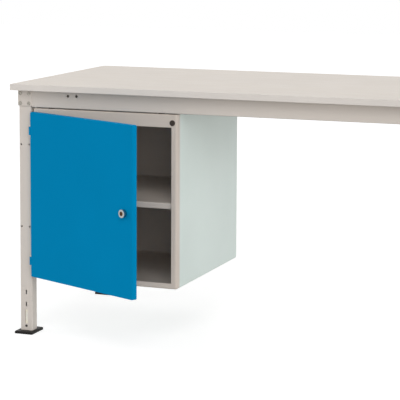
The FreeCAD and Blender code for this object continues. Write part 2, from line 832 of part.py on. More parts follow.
def clamp_screw():
    screw = Piece("set_screw")
    end = "leg_wall + foot_fit - clamp_screw_gap"
    screw.pad("Z", "-clamp_screw_proud", end, circle("0", "0", "clamp_screw"))
    low = "-clamp_screw_proud - cut_overrun"
    high = "-clamp_screw_proud + clamp_screw_socket_depth"
    screw.cut("Z", low, high, hexagon("0", "0", "clamp_screw_socket"))
    return screw.place()


def mount_spacer(label, height):
    spacer = Piece(label)
    spacer.pad("Z", "0", height, circle("0", "0", "spacer_diameter"))
    spacer.cut("Z", "-cut_overrun", f"{height} + cut_overrun", circle("0", "0", "bolt_hole"))
    return spacer.place()


RIGHT = pointing((1, 0, 0))
LEFT = pointing((-1, 0, 0))
BACKWARD = pointing((0, 1, 0))
FORWARD = pointing((0, -1, 0))
UPWARD = pointing((0, 0, 1))


def along_length(x, y, z):
    """One place mirrored to all four corners, pointing at the nearer end."""
    return [
        (x, y, z, LEFT),
        (from_right(x), y, z, RIGHT),
        (x, from_back(y), z, LEFT),
        (from_right(x), from_back(y), z, RIGHT),
    ]


def along_depth(x, y, z, front_way, rear_way):
    """One place mirrored to all four corners, with the way at the front and the rear."""
    return [
        (x, y, z, front_way),
        (from_right(x), y, z, front_way),
        (x, from_back(y), z, rear_way),
        (from_right(x), from_back(y), z, rear_way),
    ]


def fasteners():
    bolt = hexagon_bolt()
    nut = hexagon_nut()
    bolts = []
    nuts = []
    for row in BOLT_ROWS:
        height = f"{UNDERSIDE} - {row}"
        bolt_x = f"({RAIL_START} + rail_plate)"
        bolt_y = f"({CROSS_START} + rail_plate)"
        bolts += along_length(bolt_x, FRONT_BOLT_Y, height)
        bolts += along_depth(CROSS_SCREW_X, bolt_y, height, FORWARD, BACKWARD)
        nut_x = "(leg_inset_side + leg_width - leg_wall)"
        nut_y = "(leg_inset_front + leg_depth - leg_wall)"
        nuts += along_length(nut_x, FRONT_BOLT_Y, height)
        nuts += along_depth(CROSS_SCREW_X, nut_y, height, FORWARD, BACKWARD)
    group("rail_bolts", bolt, bolts)
    group("rail_nuts", nut, nuts)

    cap_screw = socket_screw(
        "button_screw",
        "head_screw_shank",
        "head_screw_length",
        "head_screw_cap",
        "head_screw_cap_height",
        "head_screw_socket",
        "head_screw_socket_depth",
    )
    screws = []
    for side in (-1, 1):
        for row in HEAD_SCREW_ROWS:
            x = f"({LEG_X} + {side} * head_screw_spread / 2)"
            y = f"(leg_inset_front - {HEAD_OUT})"
            screws += along_depth(x, y, f"{UNDERSIDE} - {row}", BACKWARD, FORWARD)
    group("head_screws", cap_screw, screws)

    wood_screw = socket_screw(
        "wood_screw",
        "wood_screw_shank",
        "wood_screw_length",
        "wood_screw_cap",
        "wood_screw_cap_height",
        "head_screw_socket",
        "head_screw_socket_depth",
    )
    seat = f"{UNDERSIDE} - rail_wall"
    group("worktop_screws", wood_screw, [(x, y, seat, UPWARD) for x, y in TOP_SCREWS])

    places = along_depth(LEG_X, "leg_inset_front", "clamp_screw_height", BACKWARD, FORWARD)
    group("foot_clamp_screws", clamp_screw(), places)

    bolts = []
    nuts = []
    spacers = []
    cabinet_seat = f"{CABINET_TOP} - cabinet_sheet"
    top = f"{HANGER_BASE} + hanger_wall"
    for x in HANGER_X:
        for y, seat in (
            (FRONT_BOLT_Y, cabinet_seat),
            (CABINET_BOLT_Y, cabinet_seat),
            (REAR_BOLT_Y, RAIL_BOTTOM),
        ):
            bolts.append((x, y, seat, UPWARD))
            nuts.append((x, y, top, UPWARD))
    group("cabinet_mount_bolts", bolt, bolts)
    group("cabinet_mount_nuts", nut, nuts)
    short = mount_spacer("short_spacer", "cabinet_drop")
    long = mount_spacer("long_spacer", "cabinet_drop + rail_wall")
    front = [(x, FRONT_BOLT_Y, CABINET_TOP, UPWARD) for x in HANGER_X]
    rear = [(x, CABINET_BOLT_Y, CABINET_TOP, UPWARD) for x in HANGER_X]
    group("front_mount_spacers", short, front)
    group("rear_mount_spacers", long, rear)


# Cabinet

INSIDE_LEFT = f"({CABINET_LEFT} + cabinet_sheet)"
INSIDE_RIGHT = f"({CABINET_RIGHT} - cabinet_sheet)"
INSIDE_BOTTOM = f"({CABINET_BOTTOM} + cabinet_sheet)"
INSIDE_TOP = f"({CABINET_TOP} - cabinet_sheet)"
FRAME_BACK = f"({CABINET_FRONT} + cabinet_sheet)"
OPENING_TOP = f"({CABINET_TOP} - top_rail_height)"
OPENING_BOTTOM = f"({CABINET_BOTTOM} + bottom_rail_height)"


def cabinet_side(side):
    """A side sheet, folded inwards in front as a stile and below as a flange."""
    sign = 1 if side == "left" else -1
    outer = CABINET_LEFT if side == "left" else CABINET_RIGHT
    panel = Piece(f"cabinet_{side}_side")
    inner = f"{outer} + {sign} * cabinet_sheet"
    stile = f"{outer} + {sign} * stile_width"
    open_side = f"{stile} + {sign} * cut_overrun"
    open_back = f"{CABINET_BACK} + cut_overrun"
    block = polygon(
        (outer, CABINET_FRONT),
        (stile, CABINET_FRONT),
        (stile, CABINET_BACK),
        (outer, CABINET_BACK),
    )
    panel.pad("Z", CABINET_BOTTOM, CABINET_TOP, block)
    hollow = polygon(
        (inner, FRAME_BACK),
        (open_side, FRAME_BACK),
        (open_side, open_back),
        (inner, open_back),
    )
    panel.cut("Z", INSIDE_BOTTOM, f"{CABINET_TOP} + cut_overrun", hollow)
    panel.round("cabinet_round - cabinet_sheet", "Z", [(inner, FRAME_BACK)])
    panel.round("cabinet_low_round - cabinet_sheet", "X", [(FRAME_BACK, INSIDE_BOTTOM)])
    panel.round("cabinet_round", "Z", [(outer, CABINET_FRONT)])
    panel.round("cabinet_low_round", "X", [(CABINET_FRONT, CABINET_BOTTOM)])
    front, back = f"{CABINET_FRONT} - cut_overrun", f"{FRAME_BACK} + cut_overrun"
    left = f"{outer} + {sign} * cabinet_round"
    high = f"{CABINET_TOP} + cut_overrun"
    panel.cut("Y", front, back, rectangle(left, OPENING_TOP, open_side, high))
    keep(panel.place())


def cabinet_top():
    """The top sheet, whose front edge is folded as a rail between the rounded corners."""
    panel = Piece("cabinet_top")
    section = [
        (CABINET_FRONT, OPENING_TOP),
        (FRAME_BACK, OPENING_TOP),
        (FRAME_BACK, INSIDE_TOP),
        (CABINET_BACK, INSIDE_TOP),
        (CABINET_BACK, CABINET_TOP),
        (CABINET_FRONT, CABINET_TOP),
    ]
    panel.pad("X", INSIDE_LEFT, INSIDE_RIGHT, polygon(*section))
    panel.round("cabinet_bend", "X", [section[5]])
    panel.round("cabinet_bend - cabinet_sheet", "X", [section[2]])
    low, high = f"{OPENING_TOP} - cut_overrun", f"{CABINET_TOP} + cut_overrun"
    front = f"{CABINET_FRONT} - cut_overrun"
    back = f"{CABINET_FRONT} + cabinet_round"
    corners = []
    for side, sign in ((CABINET_LEFT, 1), (CABINET_RIGHT, -1)):
        beyond = f"{side} - {sign} * cut_overrun"
        inside = f"{side} + {sign} * cabinet_round"
        chamfer = [(inside, FRAME_BACK), (f"{side} + {sign} * cabinet_sheet", back)]
        corners.append(polygon((beyond, front), (inside, front), *chamfer, (beyond, back)))
    panel.cut("Z", low, high, *corners)
    rows = (FRONT_BOLT_Y, CABINET_BOLT_Y)
    holes = [circle(x, y, "bolt_hole") for x in HANGER_X for y in rows]
    panel.cut("Z", f"{INSIDE_TOP} - cut_overrun", high, *holes)
    middle = (f"{CABINET_RIGHT} - buffer_from_side", f"{CABINET_TOP} - buffer_from_top")
    panel.cut("Y", front, f"{FRAME_BACK} + cut_overrun", circle(*middle, "buffer_hole"))
    keep(panel.place())


def cabinet_bottom():
    """The bottom sheet between the sides' flanges, folded up in front as a rail."""
    panel = Piece("cabinet_bottom")
    section = [
        (CABINET_FRONT, OPENING_BOTTOM),
        (FRAME_BACK, OPENING_BOTTOM),
        (FRAME_BACK, INSIDE_BOTTOM),
        (CABINET_BACK, INSIDE_BOTTOM),
        (CABINET_BACK, CABINET_BOTTOM),
        (CABINET_FRONT, CABINET_BOTTOM),
    ]
    left, right = f"{CABINET_LEFT} + stile_width", f"{CABINET_RIGHT} - stile_width"
    panel.pad("X", left, right, polygon(*section))
    panel.round("cabinet_low_round", "X", [section[5]])
    panel.round("cabinet_low_round - cabinet_sheet", "X", [section[2]])
    keep(panel.place())


def cabinet_back():
    """A shallow tray whose rim is folded forwards along the other sheets."""
    panel = Piece("cabinet_back")
    rim = rectangle(INSIDE_LEFT, INSIDE_BOTTOM, INSIDE_RIGHT, INSIDE_TOP)
    panel.pad("Y", f"{CABINET_BACK} - back_flange", CABINET_BACK, rim)
    left, right = f"{INSIDE_LEFT} + cabinet_sheet", f"{INSIDE_RIGHT} - cabinet_sheet"
    low, high = f"{INSIDE_BOTTOM} + cabinet_sheet", f"{INSIDE_TOP} - cabinet_sheet"
    start = f"{CABINET_BACK} - back_flange - cut_overrun"
    panel.cut("Y", start, f"{CABINET_BACK} - cabinet_sheet", rectangle(left, low, right, high))
    hidden = "cabinet_low_round - 2 * cabinet_sheet"
    panel.round(hidden, "Y", [(left, low), (right, low)])
    corners = [(x, INSIDE_BOTTOM) for x in (INSIDE_LEFT, INSIDE_RIGHT)]
    panel.round("cabinet_low_round - cabinet_sheet", "Y", corners)
    keep(panel.place())


STRIP_LOW = f"({INSIDE_BOTTOM} + strip_end_gap)"
STRIP_HIGH = f"({INSIDE_TOP} - strip_end_gap)"
STRIP_FRONTS = [
    f"({CABINET_FRONT} + strip_inset)",
    f"({CABINET_BACK} - strip_inset - strip_width)",
]
CLIP_TOP = f"({SHELF_TOP} - shelf_sheet)"


def shelf_strip():
    """A perforated channel. Its frame lies at its front foot, against the side sheet."""
    strip = Piece("shelf_strip")
    length = f"({STRIP_HIGH} - {STRIP_LOW})"
    section = [
        ("0", "0"),
        ("strip_depth", "0"),
        ("strip_depth", "strip_width"),
        ("0", "strip_width"),
        ("0", "strip_width - cabinet_sheet"),
        ("strip_depth - cabinet_sheet", "strip_width - cabinet_sheet"),
        ("strip_depth - cabinet_sheet", "cabinet_sheet"),
        ("0", "cabinet_sheet"),
    ]
    strip.pad("Z", "0", length, polygon(*section))
    pitch = at("strip_slot_pitch")
    first = f"({CLIP_TOP} - clip_sheet / 2 - {STRIP_LOW})"
    below = int((at(first) - at("strip_slot_height")) // pitch)
    above = int((at(length) - at(first) - at("strip_slot_height")) // pitch)
    low = f"{first} - {below} * strip_slot_pitch - strip_slot_height / 2"
    high = f"{first} - {below} * strip_slot_pitch + strip_slot_height / 2"
    left = "strip_width / 2 - strip_slot_width / 2"
    right = "strip_width / 2 + strip_slot_width / 2"
    start = "strip_depth - cabinet_sheet - strip_slot_height / 2"
    strip.cut("X", start, "strip_depth + cut_overrun", rectangle(left, low, right, high))
    strip.repeat("Z_Axis", below + above + 1, "strip_slot_pitch")
    return strip.place()


def shelf_clip():
    """A bent clip. Its frame lies on the strip's face, level with the clip's top."""
    clip = Piece("shelf_clip")
    section = [
        ("-cabinet_sheet - clip_hook", "0"),
        ("clip_reach", "0"),
        ("clip_reach", "-clip_sheet"),
        ("clip_sheet + clip_fit", "-clip_sheet"),
        ("clip_sheet + clip_fit", "-clip_drop"),
        ("clip_fit", "-clip_drop"),
        ("clip_fit", "-clip_sheet"),
        ("-cabinet_sheet - clip_hook", "-clip_sheet"),
    ]
    clip.pad("Y", "-clip_width / 2", "clip_width / 2", polygon(*section))
    return clip.place()


def shelf():
    board = Piece("cabinet_shelf")
    front = f"({CABINET_FRONT} + shelf_setback)"
    back = f"({CABINET_BACK} - shelf_back_gap)"
    low = f"({SHELF_TOP} - shelf_edge)"
    section = [
        (front, SHELF_TOP),
        (back, SHELF_TOP),
        (back, low),
        (f"{back} - shelf_return", low),
        (f"{back} - shelf_return", f"{low} + shelf_sheet"),
        (f"{back} - shelf_sheet", f"{low} + shelf_sheet"),
        (f"{back} - shelf_sheet", f"{SHELF_TOP} - shelf_sheet"),
        (f"{front} + shelf_sheet", f"{SHELF_TOP} - shelf_sheet"),
        (f"{front} + shelf_sheet", f"{low} + shelf_sheet"),
        (f"{front} + shelf_return", f"{low} + shelf_sheet"),
        (f"{front} + shelf_return", low),
        (front, low),
    ]
    margin = "(strip_depth + shelf_side_gap)"
    board.pad("X", f"{INSIDE_LEFT} + {margin}", f"{INSIDE_RIGHT} - {margin}", polygon(*section))
    board.round("shelf_bend", "X", [section[0], section[1], section[2], section[11]])
    board.round("shelf_bend - shelf_sheet", "X", section[5:9])
    keep(board.place())

    strips = []
    clips = []
    for y in STRIP_FRONTS:
        strips.append((INSIDE_LEFT, y, STRIP_LOW, turned(0)))
        strips.append((INSIDE_RIGHT, f"{y} + strip_width", STRIP_LOW, turned(180)))
        middle = f"{y} + strip_width / 2"
        clips.append((f"{INSIDE_LEFT} + strip_depth", middle, CLIP_TOP, turned(0)))
        clips.append((f"{INSIDE_RIGHT} - strip_depth", middle, CLIP_TOP, turned(180)))
    group("shelf_strips", shelf_strip(), strips)
    group("shelf_clips", shelf_clip(), clips)


def door_buffer():
    buffer = Piece("door_buffer")
    middle = (f"{CABINET_RIGHT} - buffer_from_side", f"{CABINET_TOP} - buffer_from_top")
    neck = circle(*middle, "buffer_hole - 2 * buffer_fit")
    end = f"{FRAME_BACK} + buffer_tail_length"
    start = f"{CABINET_FRONT} - buffer_proud"
    buffer.pad("Y", start, CABINET_FRONT, circle(*middle, "buffer_diameter"))
    buffer.pad("Y", CABINET_FRONT, end, neck)
    buffer.pad("Y", f"{FRAME_BACK} + buffer_fit", end, circle(*middle, "buffer_tail"))
    dimple = circle(*middle, "buffer_dimple")
    buffer.cut("Y", f"{start} - cut_overrun", f"{start} + buffer_dimple_depth", dimple)
    keep(buffer.place())


# Door. Its own frame stands on the hinge axis, with the door closed along +X.

DOOR_LEFT = "hinge_axis_out"
DOOR_RIGHT = "(hinge_axis_out + door_width)"
DOOR_FRONT = "(-hinge_axis_depth)"
DOOR_BACK = f"({DOOR_FRONT} + door_thickness)"
DOOR_BOTTOM = f"({CABINET_BOTTOM} + door_bottom_reveal)"
DOOR_TOP = f"({DOOR_BOTTOM} + door_height)"
SKIN_BACK = f"({DOOR_FRONT} + door_sheet)"
LOCK_X = f"({DOOR_RIGHT} - lock_from_edge)"
LOCK_Z = f"({DOOR_BOTTOM} + lock_from_bottom)"
LOCK_END = f"({DOOR_FRONT} + lock_barrel_length)"
EAR_REACH = "(hinge_barrel_height / 2 + hinge_play + hinge_ear_height)"


def on_door(piece):
    return keep(piece.place(HINGE_X, HINGE_Y, "0", -at("door_open_angle")))


def door_panel():
    panel = Piece("door_panel")
    corners = [(x, z) for x in (DOOR_LEFT, DOOR_RIGHT) for z in (DOOR_BOTTOM, DOOR_TOP)]
    panel.pad("Y", DOOR_FRONT, DOOR_BACK, rectangle(DOOR_LEFT, DOOR_BOTTOM, DOOR_RIGHT, DOOR_TOP))
    panel.round("door_corner", "Y", corners)
    panel.round_edges("door_edge_round", edge_at("y", DOOR_FRONT))

    left, right = f"({DOOR_LEFT} + door_sheet)", f"({DOOR_RIGHT} - door_sheet)"
    low, high = f"({DOOR_BOTTOM} + door_sheet)", f"({DOOR_TOP} - door_sheet)"
    bend = "(door_corner - door_sheet)"
    hollow = polygon(
        (f"{left} + {bend}", low),
        (f"{right} - {bend}", low),
        (right, f"{low} + {bend}"),
        (right, f"{high} - {bend}"),
        (f"{right} - {bend}", high),
        (f"{left} + {bend}", high),
        (left, f"{high} - {bend}"),
        (left, f"{low} + {bend}"),
    )
    mouth = rectangle(
        f"{DOOR_LEFT} + door_lip",
        f"{DOOR_BOTTOM} + door_lip",
        f"{DOOR_RIGHT} - door_lip",
        f"{DOOR_TOP} - door_lip",
    )
    panel.cut("Y", SKIN_BACK, f"{DOOR_BACK} - door_sheet", hollow)
    panel.cut("Y", SKIN_BACK, f"{DOOR_BACK} + cut_overrun", mouth)
    notches = []
    for height in HINGES.values():
        reach = f"({EAR_REACH} + hinge_notch_gap)"
        left = f"{DOOR_LEFT} - cut_overrun"
        notches.append(rectangle(left, f"{height} - {reach}", "hinge_notch", f"{height} + {reach}"))
    panel.cut("Y", f"{DOOR_FRONT} - cut_overrun", f"{DOOR_BACK} + cut_overrun", *notches)
    hole = circle(LOCK_X, LOCK_Z, "lock_barrel + 2 * lock_hole_fit")
    panel.cut("Y", f"{DOOR_FRONT} - cut_overrun", f"{SKIN_BACK} + cut_overrun", hole)
    on_door(panel)


def door_stiffener():
    """A hat section that stands on the back of the door's skin."""
    bar = Piece("door_stiffener")
    middle = f"({DOOR_LEFT} + door_width / 2)"
    wide = "stiffener_width / 2"
    crown = f"({wide} - stiffener_flange)"
    top = f"{SKIN_BACK} + stiffener_depth"
    foot_y = f"{SKIN_BACK} + door_sheet"
    section = [
        (f"{middle} - {wide}", SKIN_BACK),
        (f"{middle} - {crown} + door_sheet", SKIN_BACK),
        (f"{middle} - {crown} + door_sheet", f"{top} - door_sheet"),
        (f"{middle} + {crown} - door_sheet", f"{top} - door_sheet"),
        (f"{middle} + {crown} - door_sheet", SKIN_BACK),
        (f"{middle} + {wide}", SKIN_BACK),
        (f"{middle} + {wide}", foot_y),
        (f"{middle} + {crown}", foot_y),
        (f"{middle} + {crown}", top),
        (f"{middle} - {crown}", top),
        (f"{middle} - {crown}", foot_y),
        (f"{middle} - {wide}", foot_y),
    ]
    low = f"{DOOR_BOTTOM} + stiffener_end_gap"
    bar.pad("Z", low, f"{DOOR_TOP} - stiffener_end_gap", polygon(*section))
    on_door(bar)


def hinge(name):
    """One hinge: a barrel on the door, a wing with two ears on the cabinet, and a pin."""
    height = HINGES[name]
    half = "hinge_barrel_height / 2"
    barrel = Piece(f"{name}_hinge_door_leaf")
    low = f"{height} - {half}"
    high = f"{height} + {half}"
    barrel.pad("Z", low, high, circle("0", "0", "hinge_barrel"))
    leaf = rectangle("0", SKIN_BACK, "hinge_leaf_reach", f"{SKIN_BACK} + hinge_leaf")
    barrel.pad("Z", low, high, leaf)
    bore = circle("0", "0", "hinge_bore")
    barrel.cut("Z", f"{low} - cut_overrun", f"{high} + cut_overrun", bore)
    on_door(barrel)

    wing = Piece(f"{name}_hinge_cabinet_leaf")
    face = f"({CABINET_LEFT} - {HINGE_X})"
    plate = rectangle(f"{face} - hinge_wing", "hinge_wing_start", face, "hinge_wing_reach")
    wing.pad("Z", f"{height} - {EAR_REACH}", f"{height} + {EAR_REACH}", plate)
    ears = (
        (f"{height} - {EAR_REACH}", f"{low} - hinge_play"),
        (f"{high} + hinge_play", f"{height} + {EAR_REACH}"),
    )
    neck = rectangle(f"{face} - hinge_wing", "0", face, "hinge_wing_start")
    for start, end in ears:
        wing.pad("Z", start, end, circle("0", "0", "hinge_barrel"))
        wing.pad("Z", start, end, neck)
    reach = f"({EAR_REACH} + cut_overrun)"
    wing.cut("Z", f"{height} - {reach}", f"{height} + {reach}", bore)
    keep(wing.place(HINGE_X, HINGE_Y))

    pin = Piece(f"{name}_hinge_pin")
    top = f"{height} + {EAR_REACH}"
    pin.pad("Z", f"{height} - {EAR_REACH}", top, circle("0", "0", "hinge_pin"))
    pin.pad("Z", top, f"{top} + hinge_pin_cap_height", circle("0", "0", "hinge_pin_cap"))
    keep(pin.place(HINGE_X, HINGE_Y))


# A rectangle's corners, as shares of its half length and half width
CORNER_SHARES = [(-1, -1), (1, -1), (1, 1), (-1, 1)]


def key_place(along, across):
    """A corner of the tilted keyway."""
    reach = f"{along} * lock_key_length / 2"
    aside = f"{across} * lock_key_width / 2"
    out = f"{reach} * cos(lock_key_tilt) - {aside} * sin(lock_key_tilt)"
    up = f"{reach} * sin(lock_key_tilt) + {aside} * cos(lock_key_tilt)"
    return f"{LOCK_X} + {out}", f"{LOCK_Z} + {up}"


def lock():
    """A cam lock. The plug turns in its housing and carries the cam."""
    middle = (LOCK_X, LOCK_Z)
    face = f"({DOOR_FRONT} - lock_rosette_height)"
    housing = Piece("lock_housing")
    housing.pad("Y", face, DOOR_FRONT, circle(*middle, "lock_rosette"))
    housing.round_edges("lock_rosette_round", edge_at("y", face))
    housing.pad("Y", DOOR_FRONT, LOCK_END, circle(*middle, "lock_barrel"))
    bore = circle(*middle, "lock_plug + 2 * lock_plug_fit")
    housing.cut("Y", f"{face} - cut_overrun", f"{LOCK_END} + cut_overrun", bore)
    cap_bore = circle(*middle, "lock_plug_cap + 2 * lock_plug_fit")
    housing.cut("Y", f"{face} - cut_overrun", f"{face} + lock_plug_cap_depth", cap_bore)
    on_door(housing)

    nut = Piece("lock_nut")
    nut_back = f"{SKIN_BACK} + lock_nut_height"
    nut.pad("Y", SKIN_BACK, nut_back, hexagon(*middle, "lock_nut_flats"))
    hole = circle(*middle, "lock_barrel + lock_hole_fit")
    nut.cut("Y", f"{SKIN_BACK} - cut_overrun", f"{nut_back} + cut_overrun", hole)
    on_door(nut)

    plug = Piece("lock_plug")
    cam_front = f"({LOCK_END} + lock_cam_gap)"
    cam_back = f"({cam_front} + lock_cam_sheet)"
    shoulder = f"{face} + lock_plug_cap_depth - lock_plug_play"
    front = f"({face} + lock_plug_sink)"
    plug.pad("Y", front, shoulder, circle(*middle, "lock_plug_cap"))
    plug.pad("Y", shoulder, cam_front, circle(*middle, "lock_plug"))

    def square(side):
        return rectangle(
            f"{LOCK_X} - ({side}) / 2",
            f"{LOCK_Z} - ({side}) / 2",
            f"{LOCK_X} + ({side}) / 2",
            f"{LOCK_Z} + ({side}) / 2",
        )

    plug.pad("Y", cam_front, cam_back, square("lock_tang"))
    keyway = polygon(*[key_place(along, across) for along, across in CORNER_SHARES])
    plug.cut("Y", f"{face} - cut_overrun", f"{face} + lock_key_depth", keyway)
    shank = "lock_screw_shank + 2 * lock_plug_fit"
    thread = circle(*middle, shank)
    plug.cut("Y", f"{cam_back} - lock_screw_depth", f"{cam_back} + cut_overrun", thread)
    on_door(plug)

    cam = Piece("lock_cam")
    half = "lock_cam_width / 2"
    arm = rectangle(
        f"{LOCK_X} - {half}",
        f"{LOCK_Z} - {half}",
        f"{LOCK_X} + {half}",
        f"{LOCK_Z} + lock_cam_reach",
    )
    cam.pad("Y", cam_front, cam_back, arm)
    cam_corners = [
        (f"{LOCK_X} {side} {half}", f"{LOCK_Z} {end}")
        for side in ("-", "+")
        for end in (f"- {half}", "+ lock_cam_reach")
    ]
    cam.round("lock_cam_corner", "Y", cam_corners)
    tang_hole = square("lock_tang + 2 * lock_tang_fit")
    cam.cut("Y", f"{cam_front} - cut_overrun", f"{cam_back} + cut_overrun", tang_hole)
    on_door(cam)

    screw = Piece("lock_cam_screw")
    screw_end = f"{cam_back} - lock_screw_depth + lock_screw_end_gap"
    screw.pad("Y", screw_end, cam_back, circle(*middle, "lock_screw_shank"))
    cap_back = f"{cam_back} + lock_screw_cap_height"
    screw.pad("Y", cam_back, cap_back, circle(*middle, "lock_screw_cap"))
    socket = hexagon(*middle, "head_screw_socket")
    screw.cut("Y", f"{cap_back} - head_screw_socket_depth", f"{cap_back} + cut_overrun", socket)
    on_door(screw)


worktop()
for name in LEGS:
    leg(name)
    leg_head(name)
    foot(name)
rails()
hangers()
fasteners()
cabinet_side("left")
cabinet_side("right")
cabinet_top()
cabinet_bottom()
cabinet_back()
shelf()
door_buffer()
door_panel()
door_stiffener()
for name in HINGES:
    hinge(name)
lock()
doc.recompute()

# Every object has to be sound before anything is written
for item in doc.Objects:
    if "Invalid" in item.State or "Error" in item.State:
        raise RuntimeError(f"{item.Label} failed: {item.State}")
    if item.TypeId == "PartDesign::Pocket":
        if item.BaseFeature.Shape.Volume - item.Shape.Volume < SAME_POINT:
            raise RuntimeError(f"{item.Label} cuts nothing")
for item in PARTS:
    if item.Shape.isNull() or not item.Shape.isValid():
        raise RuntimeError(f"{item.Label} has no valid shape")

os.makedirs("parts", exist_ok=True)
for item in PARTS:
    item.Shape.exportStep(f"parts/{item.Label}.step")
    print(item.Label, len(item.Shape.Solids), round(item.Shape.Volume))
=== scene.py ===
"""Workbench with a hanging cabinet: finishes, floor, lights and camera."""

import json
import math

import bpy
from mathutils import Matrix, Vector


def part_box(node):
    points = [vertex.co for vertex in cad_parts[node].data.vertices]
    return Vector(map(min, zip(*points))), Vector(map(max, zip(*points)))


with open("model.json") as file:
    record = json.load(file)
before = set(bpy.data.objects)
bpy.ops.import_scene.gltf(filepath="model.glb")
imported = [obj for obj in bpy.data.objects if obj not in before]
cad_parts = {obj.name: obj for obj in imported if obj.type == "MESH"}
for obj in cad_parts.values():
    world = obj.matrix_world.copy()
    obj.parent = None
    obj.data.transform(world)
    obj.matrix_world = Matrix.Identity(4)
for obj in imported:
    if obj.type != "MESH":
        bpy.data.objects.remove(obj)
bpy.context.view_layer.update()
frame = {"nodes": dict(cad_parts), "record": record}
nodes = frame["nodes"]

# The photograph's camera, counted from the worktop's front left corner on the floor
CAMERA_RIGHT = 2.5487
CAMERA_FRONT = 5.0618
CAMERA_HEIGHT = 1.3645
CAMERA_YAW = 20.53
CAMERA_PITCH = 6.70
CAMERA_ROLL = 0.254
FOCAL_LENGTH = 158.93
SENSOR = 36.0
SHIFT_RIGHT = -0.00125
SHIFT_UP = -0.19875
FAR_CLIP = 100

WHITE = (1, 1, 1, 1)

# A Mix node has sockets for numbers, vectors and colours. These are its colour ones.
COLOUR_MIX_INPUTS = (0, 6, 7)
COLOUR_MIX_OUTPUT = 2

# Radius of the rounding that an edge shows in its gloss, in metres
SHARP_EDGE = 0.0004
CLEAN_EDGE = 0.0006
SOFT_EDGE = 0.0007
PAINTED_EDGE = 0.0008
BEVEL_SAMPLES = 6

# The paint's thinner clouds, and the primer that shows at worn edges
CLOUD_SHADE = (0.965, 0.965, 0.965, 1)
WORN_PRIMER = (0.62, 0.6, 0.57, 1)
# How many times lighter dust makes the rubber
DUST_LIGHTENS = 2.2

# The cabinet's paint is cooler on its outer faces, and lighter there: painted light for the
# light falling on them, so that its front and inside stand darker as painted shade. The change
# sets in between these distances behind its front. A face is an outer one where the cabinet's
# middle lies this far behind it. All in metres.
PAINTED_LIGHT_STARTS = 0.014
PAINTED_LIGHT_FULL = 0.026
OUTER_FROM = 0.1
OUTER_FULL = 0.12

# The floor's grey in diffuse light, how much white the camera and gloss see on top of it, and
# half its side in metres
FLOOR_GREY = 195
FLOOR_LIFT = 0.68
FLOOR_HALF = 14.0

WORLD_LEVEL = 0.40
WORLD_SEEN_LEVEL = 1.0
# Name, azimuth (0 is the front and 90 the right side), elevation, level and spread. The angles
# are in degrees.
LAMPS = (
    ("front_light", 36, 7, 0.295, 40),
    ("key_light", 20, 42, 0.245, 30),
    ("right_light", 95, 3, 0.26, 30),
    ("left_light", -80, 20, 0.24, 40),
    ("top_light", 150, 60, 0.1, 50),
)


def tone(red, green, blue):
    """A colour given as it looks on screen, as the linear values that shaders take."""
    parts = []
    for value in (red, green, blue):
        share = value / 255
        low = share / 12.92
        high = ((share + 0.055) / 1.055) ** 2.4
        parts.append(low if share <= 0.04045 else high)
    return (*parts, 1.0)


